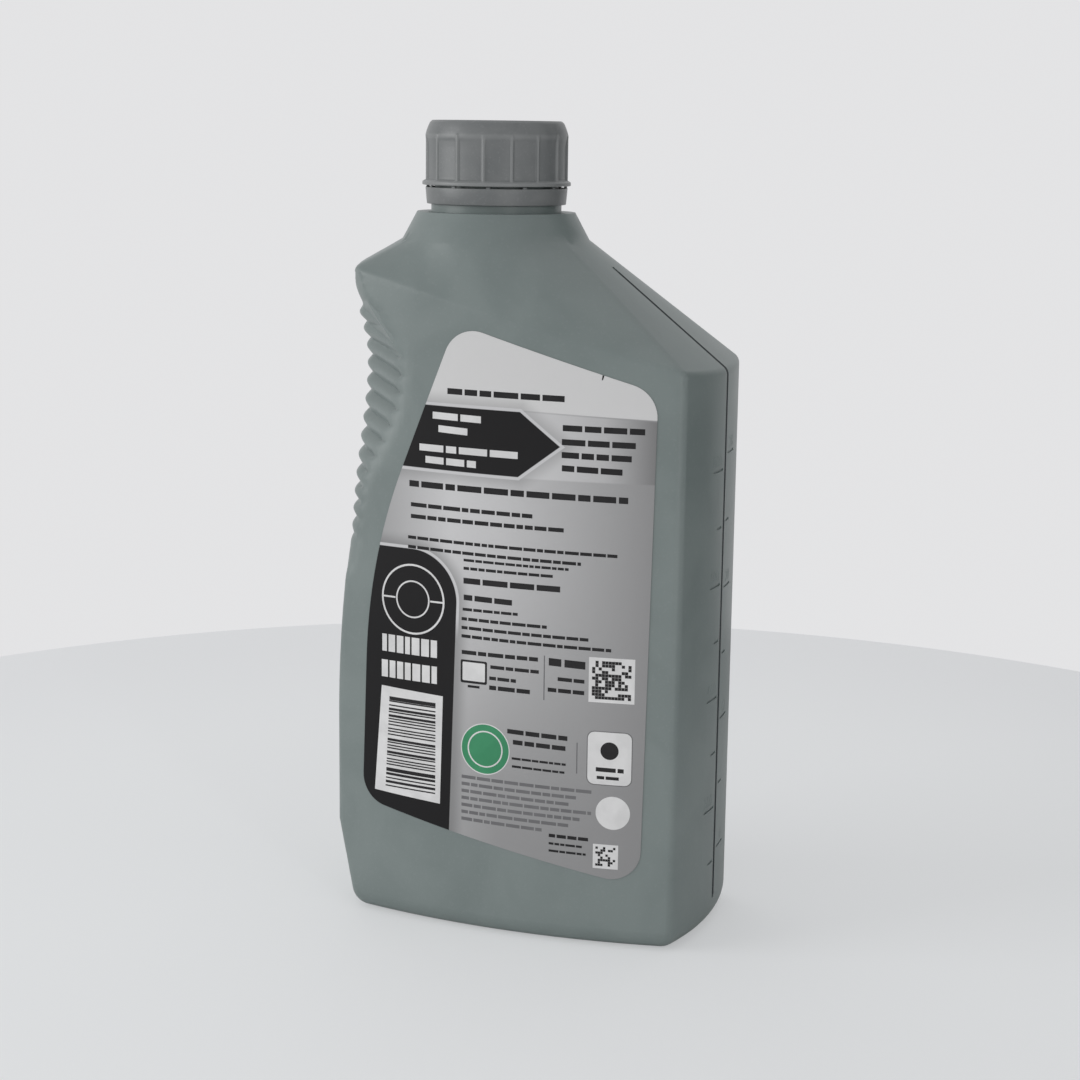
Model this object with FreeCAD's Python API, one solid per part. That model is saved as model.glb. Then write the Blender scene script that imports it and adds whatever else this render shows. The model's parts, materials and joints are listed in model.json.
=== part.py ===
import FreeCAD
import Part
import math
import os
from FreeCAD import Vector

# Motor oil bottle: blow-moulded plastic bottle, moulded screw cap with its liner,
# tamper ring, a label on each broad face, and the oil. Millimetres, +Z up.
# X runs along the broad faces, the grip is at -X and the volume marks are at +X.
# The origin is under the middle of the body, on the surface it stands on.

# Body of the bottle
body_width = 110.4
body_depth = 65.2
face_crown = 6.1
side_crown = 4.2
corner_radius = 3.2
base_radius = 6.0
wall = 1.0
base_push_up = 2.4
base_rim = 9.0

# Lower left corner leans in
heel_height = 26.0
heel_inset = 5.2

# Shoulder: a slanted line round the body, from which the walls lean in to the collar
shoulder_height = 174.7
shoulder_slope = 14.6
shoulder_radius = 3.0

# Hand grip on the left: the side sinks in and is ribbed, with a scoop on both faces
relief_start = 57.0
relief_length = 88.0
relief_depth = 5.2
rib_count = 13
rib_pitch = 5.0
rib_depth = 1.4
first_rib_height = 113.4
rib_slope = 10.4
grip_top_rise = 3.5
scoop_height = 160.0
scoop_up = 24.0
scoop_down = 42.0
scoop_reach = 61.0
scoop_fade = 12.4

# Collar and neck, on an axis off the middle of the body
neck_offset = -13.7
collar_height = 19.3
collar_radius = 26.4
ledge_rise = 7.6
ledge_radius = 22.3
neck_radius = 17.4
bore_radius = 15.6
support_radius = 18.35
support_rise = 2.1
bead_radius = 18.7
bead_rise = 4.2
bead_width = 1.4
neck_rise = 22.4

# Screw thread, the same on the neck and in the cap
thread_lead = 4.2
thread_turns = 1.5
thread_height = 1.1
thread_width = 1.5
thread_drop = 9.0

# Tamper ring under the cap
ring_height = 4.3
ring_outer = 20.0
ring_taper = 0.4
ring_lip = 0.9
ring_lip_height = 1.1
bridge_count = 12
bridge_height = 0.8
bridge_width = 1.2

# Cap
cap_clearance = 0.25
flange_radius = 20.9
flange_height = 1.5
skirt_radius = 20.2
skirt_height = 12.1
cap_rib_count = 16
cap_rib_depth = 0.5
cap_rib_width = 0.8
crown_radius = 18.2
cap_edge = 0.4
cap_top_thickness = 1.7

# Liner in the cap
liner_thickness = 1.0
liner_radius = 18.2

# Labels
label_thickness = 0.15
label_glue = 0.05
label_corner = 9.0
label_corner_low = 8.5
label_bend_radius = 160.0
label_left_low = -42.2
label_left_bend = -39.8
label_left_high = -12.2
label_bend_height = 105.0
label_right_low = 42.1
label_right_high = 44.2
label_low_left = 34.6
label_low_right = 18.8
label_high_left = 172.8
label_high_right = 156.3

# View strip groove and volume marks down the right side
groove_width = 1.5
groove_depth = 0.4
groove_low = 8.0
mark_depth = 0.3
mark_width = 0.7
mark_length = 3.8
long_mark_length = 7.8
mark_gap = 1.2
first_mark_height = 19.6
mark_pitch = 16.2
mark_count = 8
ounce_mark_height = 22.6
ounce_mark_pitch = 19.1
ounce_mark_count = 7

# Contents and clearances
oil_level = 161.0
oil_gap = 0.3
seat_gap = 0.1
far = 400.0

# Worked out from the sizes above
half_width = body_width / 2
half_depth = body_depth / 2
edge_x = half_width - side_crown
edge_y = half_depth - face_crown
face_radius = (edge_x ** 2 + face_crown ** 2) / (2 * face_crown)
side_radius = (edge_y ** 2 + side_crown ** 2) / (2 * side_crown)
shoulder_tan = math.tan(math.radians(shoulder_slope))
rib_tan = math.tan(math.radians(rib_slope))
collar_z = shoulder_height + collar_height
ledge_z = collar_z + ledge_rise
support_z = ledge_z + support_rise
bead_z = ledge_z + bead_rise
neck_top = ledge_z + neck_rise
ring_z = support_z + seat_gap
cap_z = ring_z + ring_height + bridge_height + seat_gap
cap_bore = neck_radius + thread_height + 2 * cap_clearance
liner_z = neck_top + seat_gap
cap_inner_top = liner_z + liner_thickness
cap_top = cap_inner_top + cap_top_thickness
mitre_x = half_width - relief_depth - side_crown / 3


def on_neck(shape):
    """Move a piece made on the Z axis to the axis of the neck."""
    shape.translate(Vector(neck_offset, 0, 0))
    return shape


def turned(points):
    """Solid of revolution about Z from (radius, height) points."""
    corners = [Vector(radius, 0, height) for radius, height in points]
    outline = Part.makePolygon(corners + corners[:1])
    return Part.Face(outline).revolve(Vector(0, 0, 0), Vector(0, 0, 1), 360)


def mirrored_in_y(shape):
    """The same shape on the other broad face."""
    return shape.mirror(Vector(0, 0, 0), Vector(0, 1, 0))


def slab_between_faces(skin, low, high):
    """Space between the two crowned broad faces, skin inside them."""
    radius = face_radius - skin
    centre = half_depth - face_radius
    front = Part.makeCylinder(radius, high - low, Vector(0, -centre, low))
    back = Part.makeCylinder(radius, high - low, Vector(0, centre, low))
    return front.common(back)


def right_side(skin, low, high):
    """Space inside the crowned right side."""
    centre = half_width - side_radius
    radius = side_radius - skin
    round_end = Part.makeCylinder(radius, high - low, Vector(centre, 0, low))
    rest = Part.makeBox(far + centre, far, high - low, Vector(-far, -far / 2, low))
    return round_end.fuse(rest).removeSplitter()


def relief_at(height, depth):
    """How far the left side has sunk in at a height."""
    middle = relief_start + relief_length / 2
    radius = (relief_length ** 2 + depth ** 2) / (4 * depth)
    end = relief_start + relief_length
    if height <= relief_start:
        return 0.0
    if height >= end:
        return depth
    if height < middle:
        return radius - math.sqrt(radius ** 2 - (height - relief_start) ** 2)
    return depth - radius + math.sqrt(radius ** 2 - (end - height) ** 2)


def left_side(skin, depth, low, high):
    """Space inside the left side, turned about the centre of its crown."""
    axis_x = side_radius - half_width
    middle = relief_start + relief_length / 2
    end = relief_start + relief_length
    reach = side_radius - skin

    def at(height, inset):
        return Vector(axis_x - reach + inset, 0, height)

    lower = relief_start + relief_length / 4
    upper = end - relief_length / 4
    into = at(lower, relief_at(lower, depth))
    out_of = at(upper, relief_at(upper, depth))
    edges = [
        Part.makeLine(Vector(axis_x, 0, low), at(low, heel_inset)),
        Part.makeLine(at(low, heel_inset), at(heel_height, 0)),
        Part.makeLine(at(heel_height, 0), at(relief_start, 0)),
        Part.Arc(at(relief_start, 0), into, at(middle, depth / 2)).toShape(),
        Part.Arc(at(middle, depth / 2), out_of, at(end, depth)).toShape(),
        Part.makeLine(at(end, depth), at(high, depth)),
        Part.makeLine(at(high, depth), Vector(axis_x, 0, high)),
        Part.makeLine(Vector(axis_x, 0, high), Vector(axis_x, 0, low)),
    ]
    face = Part.Face(Part.Wire(edges))
    round_end = face.revolve(Vector(axis_x, 0, 0), Vector(0, 0, 1), 360)
    rest = Part.makeBox(far, far, high - low, Vector(axis_x, -far / 2, low))
    return round_end.fuse(rest).removeSplitter()


def upright_edges(shape):
    """Edges that run up the four corners of the body."""
    found = []
    for edge in shape.Edges:
        box = edge.BoundBox
        if box.ZLength > 1 and abs(box.Center.y) > 0.5 * edge_y and box.YLength < 0.3 * edge_y:
            found.append(edge)
    return found


def base_edges(shape, low):
    """Edges round the base."""
    return [edge for edge in shape.Edges if edge.BoundBox.ZMax < low + 0.01]


def rounded(shape, radii):
    """Fillet a shape in one go, where radii pairs a radius with its edges."""
    document = FreeCAD.newDocument("rounding")
    blank = document.addObject("Part::Feature", "blank")
    blank.Shape = shape
    result = document.addObject("Part::Fillet", "result")
    result.Base = blank
    numbered = []
    for number, edge in enumerate(shape.Edges, 1):
        for radius, edges in radii:
            if any(edge.isSame(one) for one in edges):
                numbered.append((number, radius, radius))
    result.Edges = numbered
    document.recompute()
    made = result.Shape.copy()
    FreeCAD.closeDocument("rounding")
    return made.Solids[0]


def column(skin, depth):
    """The body without its shoulder, skin inside the outer face."""
    low = skin
    high = shoulder_height + half_width
    blank = slab_between_faces(skin, low, high).common(right_side(skin, low, high))
    blank = blank.common(left_side(skin, depth, low, high))
    corners = (corner_radius - skin / 2, upright_edges(blank))
    base = (base_radius - skin / 2, base_edges(blank, low))
    return rounded(blank, [corners, base])


def block_under_shoulder(high):
    """Everything under the slanted line of the shoulder."""
    drop = far * shoulder_tan
    corners = [
        Vector(-far, -far, -far),
        Vector(far, -far, -far),
        Vector(far, -far, high - drop),
        Vector(-far, -far, high + drop),
    ]
    face = Part.Face(Part.makePolygon(corners + corners[:1]))
    return face.extrude(Vector(0, 2 * far, 0))


def collar_circle(radius, height, wire):
    """Circle of the collar, in eight arcs that answer to the eight edges of the body."""
    corners = [vertex.Point for vertex in wire.OrderedVertexes]
    angles = [math.atan2(point.y, point.x - neck_offset) for point in corners]
    edges = []
    for start, end in zip(angles, angles[1:] + angles[:1]):
        turn = (end - start + math.pi) % (2 * math.pi) - math.pi
        places = []
        for share in (0, 0.5, 1):
            angle = start + share * turn
            places.append(Vector(neck_offset + radius * math.cos(angle), radius * math.sin(angle), height))
        edges.append(Part.Arc(*places).toShape())
    return Part.Wire(edges)


def body_form(skin, depth):
    """Column and shoulder in one, up to the foot of the collar."""
    lower = column(skin, depth).common(block_under_shoulder(shoulder_height))
    top = max(lower.Faces, key=lambda face: face.CenterOfMass.z)
    circle = collar_circle(collar_radius - skin, collar_z, top.OuterWire)
    shoulder = Part.makeLoft([top.OuterWire, circle], True, True)
    whole = lower.fuse(shoulder)
    return whole.makeFillet(shoulder_radius - skin / 2, shoulder_edges(whole))


def shoulder_edges(shape):
    """Edges that lie in the slanted plane of the shoulder."""
    found = []
    for edge in shape.Edges:
        middle = edge.valueAt((edge.FirstParameter + edge.LastParameter) / 2)
        places = [vertex.Point for vertex in edge.Vertexes] + [middle]
        if all(abs(place.z + shoulder_tan * place.x - shoulder_height) < 0.05 for place in places):
            found.append(edge)
    return found


def valley_share(number):
    """Ribs grow shallow towards the lower end of the grip."""
    return min(1.0, (number + 0.5) / 2)


def ribbed_line(place):
    """Half-round ribs one above another, where place gives a point for a height and a depth."""
    edges = []
    for number in range(rib_count):
        height = first_rib_height + number * rib_pitch
        foot = place(height - rib_pitch / 2, rib_depth * valley_share(number))
        head = place(height + rib_pitch / 2, rib_depth * valley_share(number + 1))
        edges.append(Part.Arc(foot, place(height, 0), head).toShape())
    return edges


def closed_outwards(edges, reach):
    """Close a line of edges into a face by going out along reach, and run out gently at the top."""
    foot = edges[0].firstVertex(True).Point
    head = edges[-1].lastVertex(True).Point
    low = foot + reach - Vector(0, 0, rib_pitch)
    high = head + reach + Vector(0, 0, grip_top_rise * reach.Length)
    loop = edges + [Part.makeLine(head, high), Part.makeLine(high, low), Part.makeLine(low, foot)]
    return Part.Face(Part.Wire(loop))


def side_rib_cutter():
    """What is taken off the left side between its ribs."""
    axis_x = side_radius - half_width

    def place(height, depth):
        inset = relief_at(height, relief_depth) + depth
        return Vector(axis_x - side_radius + inset, 0, height)

    face = closed_outwards(ribbed_line(place), Vector(-2 * rib_pitch, 0, 0))
    return face.revolve(Vector(axis_x, 0, 0), Vector(0, 0, 1), 360)


def scoop_line(height):
    """Half width of the body left between the scoops, where they meet the left side."""
    span = scoop_up if height > scoop_height else scoop_down
    share = min(1.0, abs(height - scoop_height) / span)
    return scoop_reach + scoop_fade * (1 - math.cos(math.pi * share)) / 2 - mitre_x


def scoop_cutter(skin, ribbed):
    """What is taken off the front left corner for the fingers."""
    slant = math.sqrt(2)

    def place(height, depth):
        return Vector(-mitre_x, (skin + depth) * slant - scoop_line(height), height)

    if ribbed:
        edges = ribbed_line(place)
    else:
        steps = 2 * rib_count
        step = (rib_count + 1) * rib_pitch / steps
        heights = [first_rib_height - rib_pitch + number * step for number in range(steps + 1)]
        curve = Part.BSplineCurve()
        curve.interpolate([place(height, rib_depth) for height in heights])
        edges = [curve.toShape()]
    face = closed_outwards(edges, Vector(0, -half_depth, 0))
    along = Vector(1, -1, -rib_tan)
    face.translate(along * -corner_radius)
    return face.extrude(along * half_width)


def scooped(shape, skin, ribbed):
    """Both scoops taken out of the body."""
    cutter = scoop_cutter(skin, ribbed)
    return shape.cut(cutter).cut(mirrored_in_y(cutter))


def push_up_block(skin, height):
    """Raised middle of the base."""
    left = half_width - heel_inset - base_rim + skin
    right = half_width - base_rim + skin
    across = half_depth - base_rim + skin
    block = Part.makeBox(left + right, 2 * across, height, Vector(-left, -across, 0))
    upright = [edge for edge in block.Edges if edge.BoundBox.ZLength > height / 2]
    return block.makeFillet(base_rim, upright)


def helical_ridge(root_radius, tip_radius, start):
    """Thread ridge on a wall at root_radius, standing out to tip_radius."""
    path = Part.makeHelix(thread_lead, thread_lead * thread_turns, root_radius)
    into = 0.2 if tip_radius > root_radius else -0.2
    half = thread_width / 2
    crest = half / 3
    corners = [
        Vector(root_radius - into, 0, -half),
        Vector(tip_radius, 0, -crest),
        Vector(tip_radius, 0, crest),
        Vector(root_radius - into, 0, half),
    ]
    outline = Part.makePolygon(corners + corners[:1])
    ridge = Part.Wire(path.Edges).makePipeShell([outline], True, True)
    ridge.translate(Vector(0, 0, start))
    return ridge


def thread_start():
    """Height at which the neck's thread begins."""
    return neck_top - thread_drop


def neck_outside():
    """Collar, support, bead and threaded wall as one turned form."""
    return turned([
        (0, collar_z),
        (collar_radius, collar_z),
        (ledge_radius, ledge_z),
        (support_radius, ledge_z),
        (support_radius, support_z),
        (neck_radius, support_z),
        (neck_radius, bead_z),
        (bead_radius, bead_z),
        (neck_radius, bead_z + bead_width),
        (neck_radius, neck_top),
        (0, neck_top),
    ])


def neck_inside():
    """The way in through the collar and the neck."""
    return turned([
        (0, collar_z),
        (collar_radius - wall, collar_z),
        (bore_radius, ledge_z),
        (bore_radius, neck_top + wall),
        (0, neck_top + wall),
    ])


def cavity(gap):
    """Hollow of the bottle, or the oil's own outline when gap is not 0."""
    skin = wall + gap
    hollow = scooped(body_form(skin, relief_depth + rib_depth), skin, False)
    return hollow.cut(push_up_block(skin, base_push_up + skin))


def strip_groove():
    """Shallow groove down the right side and up the shoulder, along the view strip."""
    corner_z = shoulder_height - shoulder_tan * half_width
    slope = Vector(neck_offset + collar_radius - half_width, 0, collar_z - corner_z)
    inward = Vector(-slope.z, 0, slope.x).normalize() * groove_depth
    corner = Vector(half_width, 0, corner_z)
    end = corner + slope * 0.8
    corners = [
        Vector(half_width - groove_depth, 0, groove_low),
        Vector(half_width - groove_depth, 0, corner_z - groove_depth / 2),
        end + inward,
        end - inward * 8,
        corner + Vector(8, 0, 8),
        Vector(half_width + 8, 0, groove_low),
    ]
    face = Part.Face(Part.makePolygon(corners + corners[:1]))
    face.translate(Vector(0, -groove_width / 2, 0))
    return face.extrude(Vector(0, groove_width, 0))


def volume_marks():
    """Level marks each side of the groove, one row per unit, every second one long."""
    near = groove_width / 2 + mark_gap
    centre = Vector(half_width - side_radius, 0, 0)
    uncut = Part.makeCylinder(side_radius - mark_depth, shoulder_height, centre)
    bars = []
    for side, start, pitch, count, first_long in (
        (-1, first_mark_height, mark_pitch, mark_count, 1),
        (1, ounce_mark_height, ounce_mark_pitch, ounce_mark_count, 0),
    ):
        for number in range(count):
            height = start + number * pitch
            length = long_mark_length if number % 2 == first_long else mark_length
            left = near if side > 0 else -near - length
            place = Vector(edge_x, left, height - mark_width / 2)
            bar = Part.makeBox(2 * side_crown, length, mark_width, place)
            bars.append(bar.cut(uncut))
    return bars


def make_bottle():
    outside = scooped(body_form(0, relief_depth).cut(side_rib_cutter()), 0, True)
    outside = outside.cut(push_up_block(0, base_push_up))
    neck = on_neck(neck_outside())
    hollow = cavity(0).fuse(on_neck(neck_inside()))
    ridge = on_neck(helical_ridge(neck_radius, neck_radius + thread_height, thread_start()))
    bottle = outside.fuse(neck).cut(hollow).fuse(ridge)
    return bottle.cut([strip_groove()] + volume_marks())


def make_oil():
    level = Part.makeBox(2 * far, 2 * far, far, Vector(-far, -far, oil_level))
    return cavity(oil_gap).cut(level)


def rounded_outline(corners):
    """Closed wire through (x, z, radius) corners in the XZ plane, each corner rounded."""
    ends = []
    for before, here, after in zip(corners[-1:] + corners[:-1], corners, corners[1:] + corners[:1]):
        point = Vector(here[0], 0, here[1])
        back = (Vector(before[0], 0, before[1]) - point).normalize()
        on = (Vector(after[0], 0, after[1]) - point).normalize()
        half = back.getAngle(on) / 2
        middle = (back + on).normalize()
        run = here[2] / math.tan(half)
        centre = point + middle * (here[2] / math.sin(half))
        ends.append((point + back * run, centre - middle * here[2], point + on * run))
    edges = []
    for (start, top, finish), (following, _, _) in zip(ends, ends[1:] + ends[:1]):
        edges.append(Part.Arc(start, top, finish).toShape())
        edges.append(Part.makeLine(finish, following))
    return Part.Wire(edges)


def make_back_label():
    corners = [
        (label_left_low, label_low_left, label_corner_low),
        (label_right_low, label_low_right, label_corner_low),
        (label_right_high, label_high_right, label_corner),
        (label_left_high, label_high_left, label_corner),
        (label_left_bend, label_bend_height, label_bend_radius),
    ]
    block = Part.Face(rounded_outline(corners)).extrude(Vector(0, -2 * half_depth, 0))
    centre = Vector(0, face_radius - half_depth, 0)
    inner = face_radius + label_glue
    film = Part.makeCylinder(inner + label_thickness, 2 * shoulder_height, centre)
    backing = Part.makeCylinder(inner, 2 * shoulder_height, centre)
    return film.cut(backing).common(block)


def make_tamper_ring():
    inner = cap_bore
    high = ring_z + ring_height
    band = turned([
        (inner - ring_lip, ring_z),
        (ring_outer - ring_taper, ring_z),
        (ring_outer, high),
        (inner, high),
        (inner, ring_z + ring_lip_height + ring_lip),
        (inner - ring_lip, ring_z + ring_lip_height),
    ])
    bridges = []
    for number in range(bridge_count):
        place = Vector(inner + seat_gap, -bridge_width / 2, high)
        bridge = Part.makeBox(ring_outer - inner - 2 * seat_gap, bridge_width, bridge_height, place)
        bridge.rotate(Vector(0, 0, 0), Vector(0, 0, 1), 360 * (number + 0.5) / bridge_count)
        bridges.append(bridge)
    return on_neck(band.fuse(bridges))


def make_liner():
    corners = [(0, liner_z), (liner_radius, liner_z), (liner_radius, cap_inner_top), (0, cap_inner_top)]
    return on_neck(turned(corners))


def make_cap():
    wall_radius = skirt_radius - cap_rib_depth
    skirt_top = cap_z + flange_height + skirt_height
    shell = turned([
        (cap_bore, cap_z),
        (flange_radius, cap_z),
        (flange_radius, cap_z + flange_height * 0.6),
        (wall_radius, cap_z + flange_height),
        (wall_radius, skirt_top - cap_rib_depth),
        (skirt_radius, skirt_top),
        (crown_radius, cap_top - cap_edge),
        (crown_radius - cap_edge, cap_top),
        (0, cap_top),
        (0, cap_inner_top),
        (cap_bore, cap_inner_top),
    ])
    ribs = []
    for number in range(cap_rib_count):
        place = Vector(cap_bore + cap_clearance, -cap_rib_width / 2, cap_z + flange_height / 2)
        depth = skirt_radius - cap_bore - cap_clearance
        rib = Part.makeBox(depth, cap_rib_width, skirt_top - cap_z - flange_height / 2, place)
        rib.rotate(Vector(0, 0, 0), Vector(0, 0, 1), 360 * (number + 0.5) / cap_rib_count)
        ribs.append(rib)
    ridge = helical_ridge(cap_bore, cap_bore - thread_height, thread_start() - thread_lead / 2)
    return on_neck(shell.fuse(ribs).fuse(ridge))


back_label = make_back_label()
pieces = {
    "bottle": make_bottle(),
    "oil": make_oil(),
    "back_label": back_label,
    "front_label": mirrored_in_y(back_label),
    "tamper_ring": make_tamper_ring(),
    "cap_liner": make_liner(),
    "cap": make_cap(),
}

os.makedirs("parts", exist_ok=True)
for name, shape in pieces.items():
    shape.exportStep("parts/" + name + ".step")
    state = "valid" if shape.isValid() else "NOT VALID"
    print(name, state, len(shape.Solids), "solid,", round(shape.Volume / 1000, 2), "ml")
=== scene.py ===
import json
import math
import random
import bmesh
import bpy
from mathutils import Matrix, Vector

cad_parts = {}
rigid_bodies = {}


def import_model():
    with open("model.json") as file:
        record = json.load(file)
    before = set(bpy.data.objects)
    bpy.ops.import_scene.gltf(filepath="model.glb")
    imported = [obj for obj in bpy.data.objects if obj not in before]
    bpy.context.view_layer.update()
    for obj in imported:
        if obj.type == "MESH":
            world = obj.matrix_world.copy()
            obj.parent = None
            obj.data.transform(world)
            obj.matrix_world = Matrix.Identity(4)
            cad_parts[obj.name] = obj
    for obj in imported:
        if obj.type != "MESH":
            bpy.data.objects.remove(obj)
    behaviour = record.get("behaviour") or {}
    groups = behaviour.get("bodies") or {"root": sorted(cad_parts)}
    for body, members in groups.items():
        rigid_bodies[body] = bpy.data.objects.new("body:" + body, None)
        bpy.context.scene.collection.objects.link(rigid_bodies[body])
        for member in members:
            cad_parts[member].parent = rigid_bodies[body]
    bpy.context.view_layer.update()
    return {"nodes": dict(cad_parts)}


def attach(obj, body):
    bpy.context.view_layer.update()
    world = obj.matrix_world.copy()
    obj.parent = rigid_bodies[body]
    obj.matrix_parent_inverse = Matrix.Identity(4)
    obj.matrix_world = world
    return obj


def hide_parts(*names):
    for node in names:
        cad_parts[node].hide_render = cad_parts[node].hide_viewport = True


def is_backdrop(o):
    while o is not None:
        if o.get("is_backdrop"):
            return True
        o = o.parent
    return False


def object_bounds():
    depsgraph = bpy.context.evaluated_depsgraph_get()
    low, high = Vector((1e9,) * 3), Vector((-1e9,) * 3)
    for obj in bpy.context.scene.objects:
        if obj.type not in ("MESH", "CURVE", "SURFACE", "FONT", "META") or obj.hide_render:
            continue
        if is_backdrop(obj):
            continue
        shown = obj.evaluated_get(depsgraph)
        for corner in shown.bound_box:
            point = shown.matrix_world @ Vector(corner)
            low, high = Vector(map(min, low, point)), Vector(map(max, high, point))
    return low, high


# Objects that Blender starts with make room for the frame.
for leftover in list(bpy.data.objects):
    bpy.data.objects.remove(leftover)
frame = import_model()
nodes = frame["nodes"]


# The bottle is blow-moulded in one piece from grey-green polyethylene with a little
# silver in it. Its grip was drawn into the mould with soft ribs that fade into the faces.
# All sizes are in millimetres until a mesh is finished.

def put(tree, kind, **values):
    """Add a shader node. Names of sockets go to the sockets, names of properties to the node."""
    node = tree.nodes.new("ShaderNode" + kind)
    properties = {name: value for name, value in values.items() if name in node.bl_rna.properties}
    for name, value in properties.items():
        setattr(node, name, value)
    for name, value in values.items():
        if name in properties:
            continue
        socket = node.inputs[int(name[2:]) if name.startswith("in") else name.replace("_", " ")]
        if isinstance(value, bpy.types.NodeSocket):
            tree.links.new(value, socket)
        else:
            socket.default_value = value
    return node


def calc(tree, operation, *terms):
    """One step of arithmetic on numbers or sockets."""
    named = {"in%d" % place: term for place, term in enumerate(terms)}
    return put(tree, "Math", operation=operation, **named).outputs[0]


def eased(tree, value, start, end):
    """Mask that goes smoothly from 0 at start to 1 at end."""
    if start < end:
        limits = {"From_Min": start, "From_Max": end, "To_Min": 0.0, "To_Max": 1.0}
    else:
        limits = {"From_Min": end, "From_Max": start, "To_Min": 1.0, "To_Max": 0.0}
    return put(tree, "MapRange", interpolation_type="SMOOTHSTEP", Value=value, **limits).outputs[0]


def blended(tree, share, first, second):
    """Mix two colours, where share is a number or a mask."""
    return put(tree, "Mix", data_type="RGBA", in0=share, in6=first, in7=second).outputs[2]


def new_material(name):
    """Empty material with its tree, its shader, and object coordinates in millimetres."""
    material = bpy.data.materials.new(name)
    material.use_nodes = True
    tree = material.node_tree
    place = put(tree, "TexCoord").outputs["Object"]
    scaled = put(tree, "VectorMath", operation="SCALE", in0=place, in3=1000.0).outputs[0]
    return material, tree, tree.nodes["Principled BSDF"], scaled


def moulded_skin_group():
    """Node group of what a mould leaves on plastic: grain, cloudy flow, specks and rub marks."""
    group = bpy.data.node_groups.new("moulded_skin", "ShaderNodeTree")
    sockets = group.interface
    sockets.new_socket("Place", in_out="INPUT", socket_type="NodeSocketVector")
    for name in ("Grain Size", "Cloud Size", "Speck Size"):
        sockets.new_socket(name, in_out="INPUT", socket_type="NodeSocketFloat")
    for name in ("Height", "Cloud", "Speck", "Rub"):
        sockets.new_socket(name, in_out="OUTPUT", socket_type="NodeSocketFloat")
    given = group.nodes.new("NodeGroupInput").outputs
    grain_scale = calc(group, "DIVIDE", 1.0, given["Grain Size"])
    cloud_scale = calc(group, "DIVIDE", 1.0, given["Cloud Size"])
    speck_scale = calc(group, "DIVIDE", 1.0, given["Speck Size"])
    grain = put(group, "TexNoise", Vector=given["Place"], Scale=grain_scale, Detail=2.0).outputs["Fac"]
    cloud = put(group, "TexNoise", Vector=given["Place"], Scale=cloud_scale, Detail=4.0,
                Distortion=0.6).outputs["Fac"]
    speck = put(group, "TexVoronoi", Vector=given["Place"], Scale=speck_scale).outputs["Color"]
    speck = put(group, "SeparateColor", Color=speck).outputs[0]
    drawn = put(group, "VectorMath", operation="MULTIPLY", in0=given["Place"],
                in1=(1.0, 1.0, 0.06)).outputs[0]
    rub = put(group, "TexNoise", Vector=drawn, Scale=0.9, Detail=5.0).outputs["Fac"]
    results = group.nodes.new("NodeGroupOutput").inputs
    for name, mask in (
        ("Height", grain),
        ("Cloud", eased(group, cloud, 0.3, 0.7)),
        ("Speck", eased(group, speck, 0.86, 1.0)),
        ("Rub", eased(group, rub, 0.62, 0.78)),
    ):
        group.links.new(mask, results[name])
    return group


moulded_skin = moulded_skin_group()


def skin_of(tree, place, grain, cloud, speck):
    """The moulded skin in one material, with that material's own sizes in millimetres."""
    node = tree.nodes.new("ShaderNodeGroup")
    node.node_tree = moulded_skin
    tree.links.new(place, node.inputs["Place"])
    for name, value in (("Grain Size", grain), ("Cloud Size", cloud), ("Speck Size", speck)):
        node.inputs[name].default_value = value
    return node.outputs


body_dark = (0.168, 0.203, 0.198, 1)
body_pale = (0.196, 0.233, 0.227, 1)
body_speck = (0.255, 0.285, 0.280, 1)
strip_colour = (0.058, 0.066, 0.070, 1)
strip_foot, strip_head = 8.0, 190.0
bottle_plastic, tree, shader, place = new_material("bottle_plastic")
axes = put(tree, "SeparateXYZ", in0=place).outputs
skin = skin_of(tree, place, 0.45, 26.0, 0.5)
base = blended(tree, skin["Cloud"], body_dark, body_pale)
base = blended(tree, calc(tree, "MULTIPLY", skin["Speck"], 0.14), base, body_speck)
off_strip = calc(tree, "ABSOLUTE", axes["Y"])
strip = calc(tree, "MULTIPLY", eased(tree, off_strip, 1.15, 0.85), eased(tree, axes["X"], 20.0, 24.0))
strip = calc(tree, "MULTIPLY", strip, eased(tree, axes["Z"], strip_foot, strip_foot + 1.0))
strip = calc(tree, "MULTIPLY", strip, eased(tree, axes["Z"], strip_head, strip_head - 4.0))
base = blended(tree, calc(tree, "MULTIPLY", strip, 0.85), base, strip_colour)
tree.links.new(base, shader.inputs["Base Color"])
roughness = calc(tree, "MULTIPLY_ADD", skin["Cloud"], 0.05, 0.37)
roughness = calc(tree, "MULTIPLY_ADD", skin["Rub"], 0.06, roughness)
roughness = calc(tree, "MULTIPLY_ADD", strip, -0.15, roughness)
tree.links.new(roughness, shader.inputs["Roughness"])
bump = put(tree, "Bump", Strength=0.35, Distance=0.00004, Height=skin["Height"])
tree.links.new(bump.outputs[0], shader.inputs["Normal"])

# Sizes of the body, and of the grip drawn into its left side
half_width, half_depth = 55.2, 32.6
face_crown, side_crown = 6.1, 4.2
edge_x = half_width - side_crown
edge_y = half_depth - face_crown
face_radius = (edge_x ** 2 + face_crown ** 2) / (2 * face_crown)
side_radius = (edge_y ** 2 + side_crown ** 2) / (2 * side_crown)
shoulder_height, shoulder_slope = 174.7, 14.6
relief_start, relief_length, relief_depth = 57.0, 88.0, 5.2
first_rib, rib_pitch, rib_count, rib_depth = 113.4, 5.0, 13, 1.4
rib_slope = 10.4
scoop_height, scoop_up, scoop_down = 160.0, 25.0, 44.0
mitre_x = half_width - relief_depth - side_crown / 3
scoop_near, scoop_fade = 60.6 - mitre_x, 12.6
run_out = 3.5
rib_tan = math.tan(math.radians(rib_slope))
corner_soft, scoop_soft = 3.7, 2.6

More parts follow.
